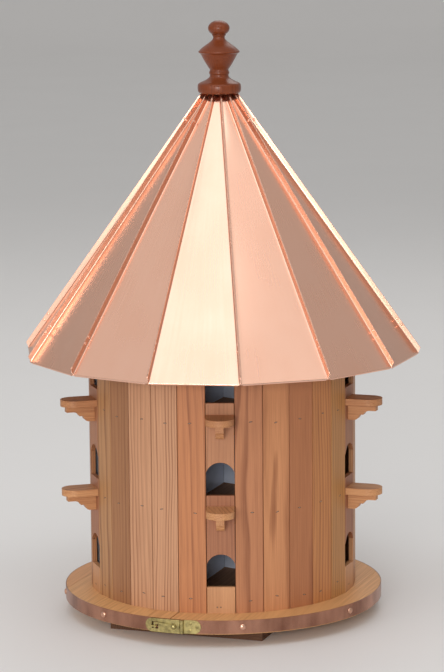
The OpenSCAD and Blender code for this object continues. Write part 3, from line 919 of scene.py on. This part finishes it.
def screwHead():
    # a shallow dome on a polar grid: one less the square of the radius gives its height, and two steep
    # steps multiplied press a cross into it
    turn = np.linspace(0, 2 * np.pi, screws["turns"], endpoint=False)[None, :]
    radius = np.concatenate([np.linspace(0.04, 1, screws["rings"]), [1.0]])[:, None] * screws["radius"]
    x = radius * np.cos(turn)
    y = radius * np.sin(turn)
    z = screws["dome"] * (1 - (radius / screws["radius"]) ** 2) + 0 * turn + screws["rise"]
    z[-1] = screws["skirt"]
    wide = np.maximum(np.abs(x), np.abs(y))
    narrow = np.minimum(np.abs(x), np.abs(y))
    endSharp, sideSharp = screws["sharp"]
    inWidth = 1 / (1 + np.exp((narrow - screws["cut"]) * sideSharp))
    inLength = 1 / (1 + np.exp((wide - screws["arm"]) * endSharp))
    z = z - screws["press"] * inWidth * inLength
    points = np.stack([x, y, z], axis=-1)[::-1].reshape(-1, 3)
    count = screws["turns"]
    faces = gridFaces(len(radius), count, closed=True)
    top = np.arange(len(points) - count, len(points))[None]
    foot = np.arange(count)[None, ::-1]
    return points, [faces, top, foot]


def makeScrews():
    # three heads on each leaf of the hasp and the hinge, placed by arc length from its joint's pin
    low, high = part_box("hasp_leaf")
    bottom = low.z * 1000
    tall = (high.z - low.z) * 1000
    byName = {j["name"]: j for j in frame["joints"]}
    sets = [("haspScrews", "hasp_strap_swing", 1, "house"),
            ("hingeScrewsRight", "left_half_swing", -1, "house"),
            ("hingeScrewsLeft", "left_half_swing", 1, "left_half")]
    reach = -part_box("rim_band_right")[0].y * 1000
    face = reach + screws["front"]
    shape, faces = screwHead()
    for name, joint, side, body in sets:
        x, y, _ = byName[joint]["pos_m"]
        pinAzimuth = math.degrees(math.atan2(x, -y))
        azimuths = [pinAzimuth + side * math.degrees(place * screws["leaf"] / reach)
                    for place, _ in screws["places"]]
        out, sideways = facing(azimuths)
        heights = np.array([bottom + share * tall for _, share in screws["places"]])
        up = np.broadcast_to([0, 0, 1.0], out.shape)
        spin = np.radians(screws["spins"])[:, None]
        across = sideways * np.cos(spin) + up * np.sin(spin)
        along = up * np.cos(spin) - sideways * np.sin(spin)
        points, copies = stamp(shape, faces, out * face + up * heights[:, None], across, along, out)
        makePiece(name, points * mm, copies, body, looks["brass"], 60)


print("roof and finial")
makeRoofPanels()
makeEaveHems()
makeSeamRivets()
makeFinial()
print("fasteners")
makeStaples()
makeBandRivets()
makeScrews()


studio = {
    "floorColour": (0.86, 0.85, 0.84, 1.0), "skyColour": (1.0, 0.99, 0.98, 1.0), "sky": 0.5,
    "shade": 0.97, "roughness": 0.85,         # the floor's darkest patches, and its finish
    "flat": 12.0, "bend": 3.0, "wall": 6.0,   # radius of the flat floor, of its bend, and the wall's top
}


def makeStage():
    # a floor that curves up into a wall all round, as a profile turned about the axis
    turn = np.linspace(0, np.pi / 2, 14)
    flat, radius = studio["flat"], studio["bend"]
    bend = [(flat + radius * math.sin(a), radius * (1 - math.cos(a))) for a in turn]
    profile = [(0.5, 0.0), (2.0, 0.0)] + bend + [(flat + radius, studio["wall"])]
    points, faces = revolve(profile, 96)
    mesh = bpy.data.meshes.new("studioFloor")
    mesh.from_pydata(points.tolist(), [], [f for part in faces[:2] for f in part.tolist()])
    mesh.shade_smooth()
    w = Wiring("studioPaper")
    x, y, z = w.place()
    soft = w.noise(w.vector(x, y, z), 0.002, 2.0)
    shade = tuple(studio["shade"] * c for c in studio["floorColour"][:3]) + (1.0,)
    mesh.materials.append(w.finish(w.blend(soft, studio["floorColour"], shade), studio["roughness"]))
    floor = bpy.data.objects.new("studioFloor", mesh)
    bpy.context.scene.collection.objects.link(floor)


def makeWorld():
    world = bpy.data.worlds.new("studioAir")
    world.use_nodes = True
    back = world.node_tree.nodes["Background"]
    back.inputs["Color"].default_value = studio["skyColour"]
    back.inputs["Strength"].default_value = studio["sky"]
    bpy.context.scene.world = world


warmLight = (1.0, 0.98, 0.96)
coolLight = (0.94, 0.96, 1.0)
softboxes = {
    # azimuth, elevation, distance, width, height, power, colour
    "overheadFront": (-8, 60, 2.8, 2.2, 1.8, 15.5, coolLight),
    "frontWindow": (-8, 9, 4.6, 1.4, 1.0, 78, warmLight),
    "frontLeft": (-42, 16, 3.6, 1.8, 1.8, 14, warmLight),
    "leftHigh": (-84, 46, 3.4, 1.6, 1.6, 2, warmLight),
    "frontRight": (50, 56, 3.4, 2.0, 1.4, 4.5, warmLight),
    "backFill": (170, 45, 3.4, 1.8, 1.8, 16, warmLight),
}


def makeSoftboxes():
    aim = Vector((0, 0, 0.4))
    for name, (azimuth, elevation, distance, width, height, power, colour) in softboxes.items():
        light = bpy.data.lights.new(name, "AREA")
        light.shape = "RECTANGLE"
        light.size = width
        light.size_y = height
        light.energy = power
        light.color = colour
        lamp = bpy.data.objects.new(name, light)
        bpy.context.scene.collection.objects.link(lamp)
        back = towards(azimuth, elevation)
        lamp.location = aim + back * distance
        lamp.rotation_euler = back.to_track_quat("Z", "Y").to_euler()


view = {"azimuth": 0.97, "elevation": 9.31, "distance": 3.855, "aim": (0.0008, 0.0, 0.3816),
        "roll": -0.48, "lens": 150.5}


def makeCamera():
    camera = bpy.data.cameras.new("camera")
    camera.sensor_fit = "VERTICAL"
    camera.sensor_height = 36
    camera.lens = view["lens"]
    camera.clip_end = 100
    holder = bpy.data.objects.new("camera", camera)
    bpy.context.scene.collection.objects.link(holder)
    back = towards(view["azimuth"], view["elevation"])
    turn = back.to_track_quat("Z", "Y").to_matrix().to_4x4()
    roll = Matrix.Rotation(math.radians(view["roll"]), 4, "Z")
    holder.matrix_world = Matrix.Translation(Vector(view["aim"]) + back * view["distance"]) @ turn @ roll
    bpy.context.scene.camera = holder


print("studio")
makeStage()
makeWorld()
makeSoftboxes()
makeCamera()
bpy.context.scene.view_settings.view_transform = "Standard"
